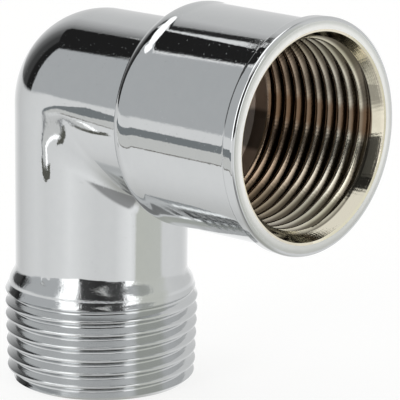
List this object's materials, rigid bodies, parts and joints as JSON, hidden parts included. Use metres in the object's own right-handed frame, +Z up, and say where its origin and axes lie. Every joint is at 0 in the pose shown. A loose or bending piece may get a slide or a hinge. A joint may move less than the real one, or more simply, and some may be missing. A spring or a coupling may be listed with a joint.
{
  "type": "street elbow pipe fitting",
  "caption": "Right-angle pipe elbow with an external taper pipe thread at one end and an internally threaded socket at the other.",
  "frame": {"origin": "centre of the male end face, on the male thread's axis", "axes": "+Z up the male axis from the end face to the bend, +X along the socket's axis and out of its mouth"},
  "size_m": [0.0515, 0.0302, 0.0545],
  "materials": {
    "chrome_plate": "polished outside, satin nickel over brass inside"
  },
  "bodies": {
    "root": {"elbow_body": "chrome_plate"}
  },
  "joints": []
}
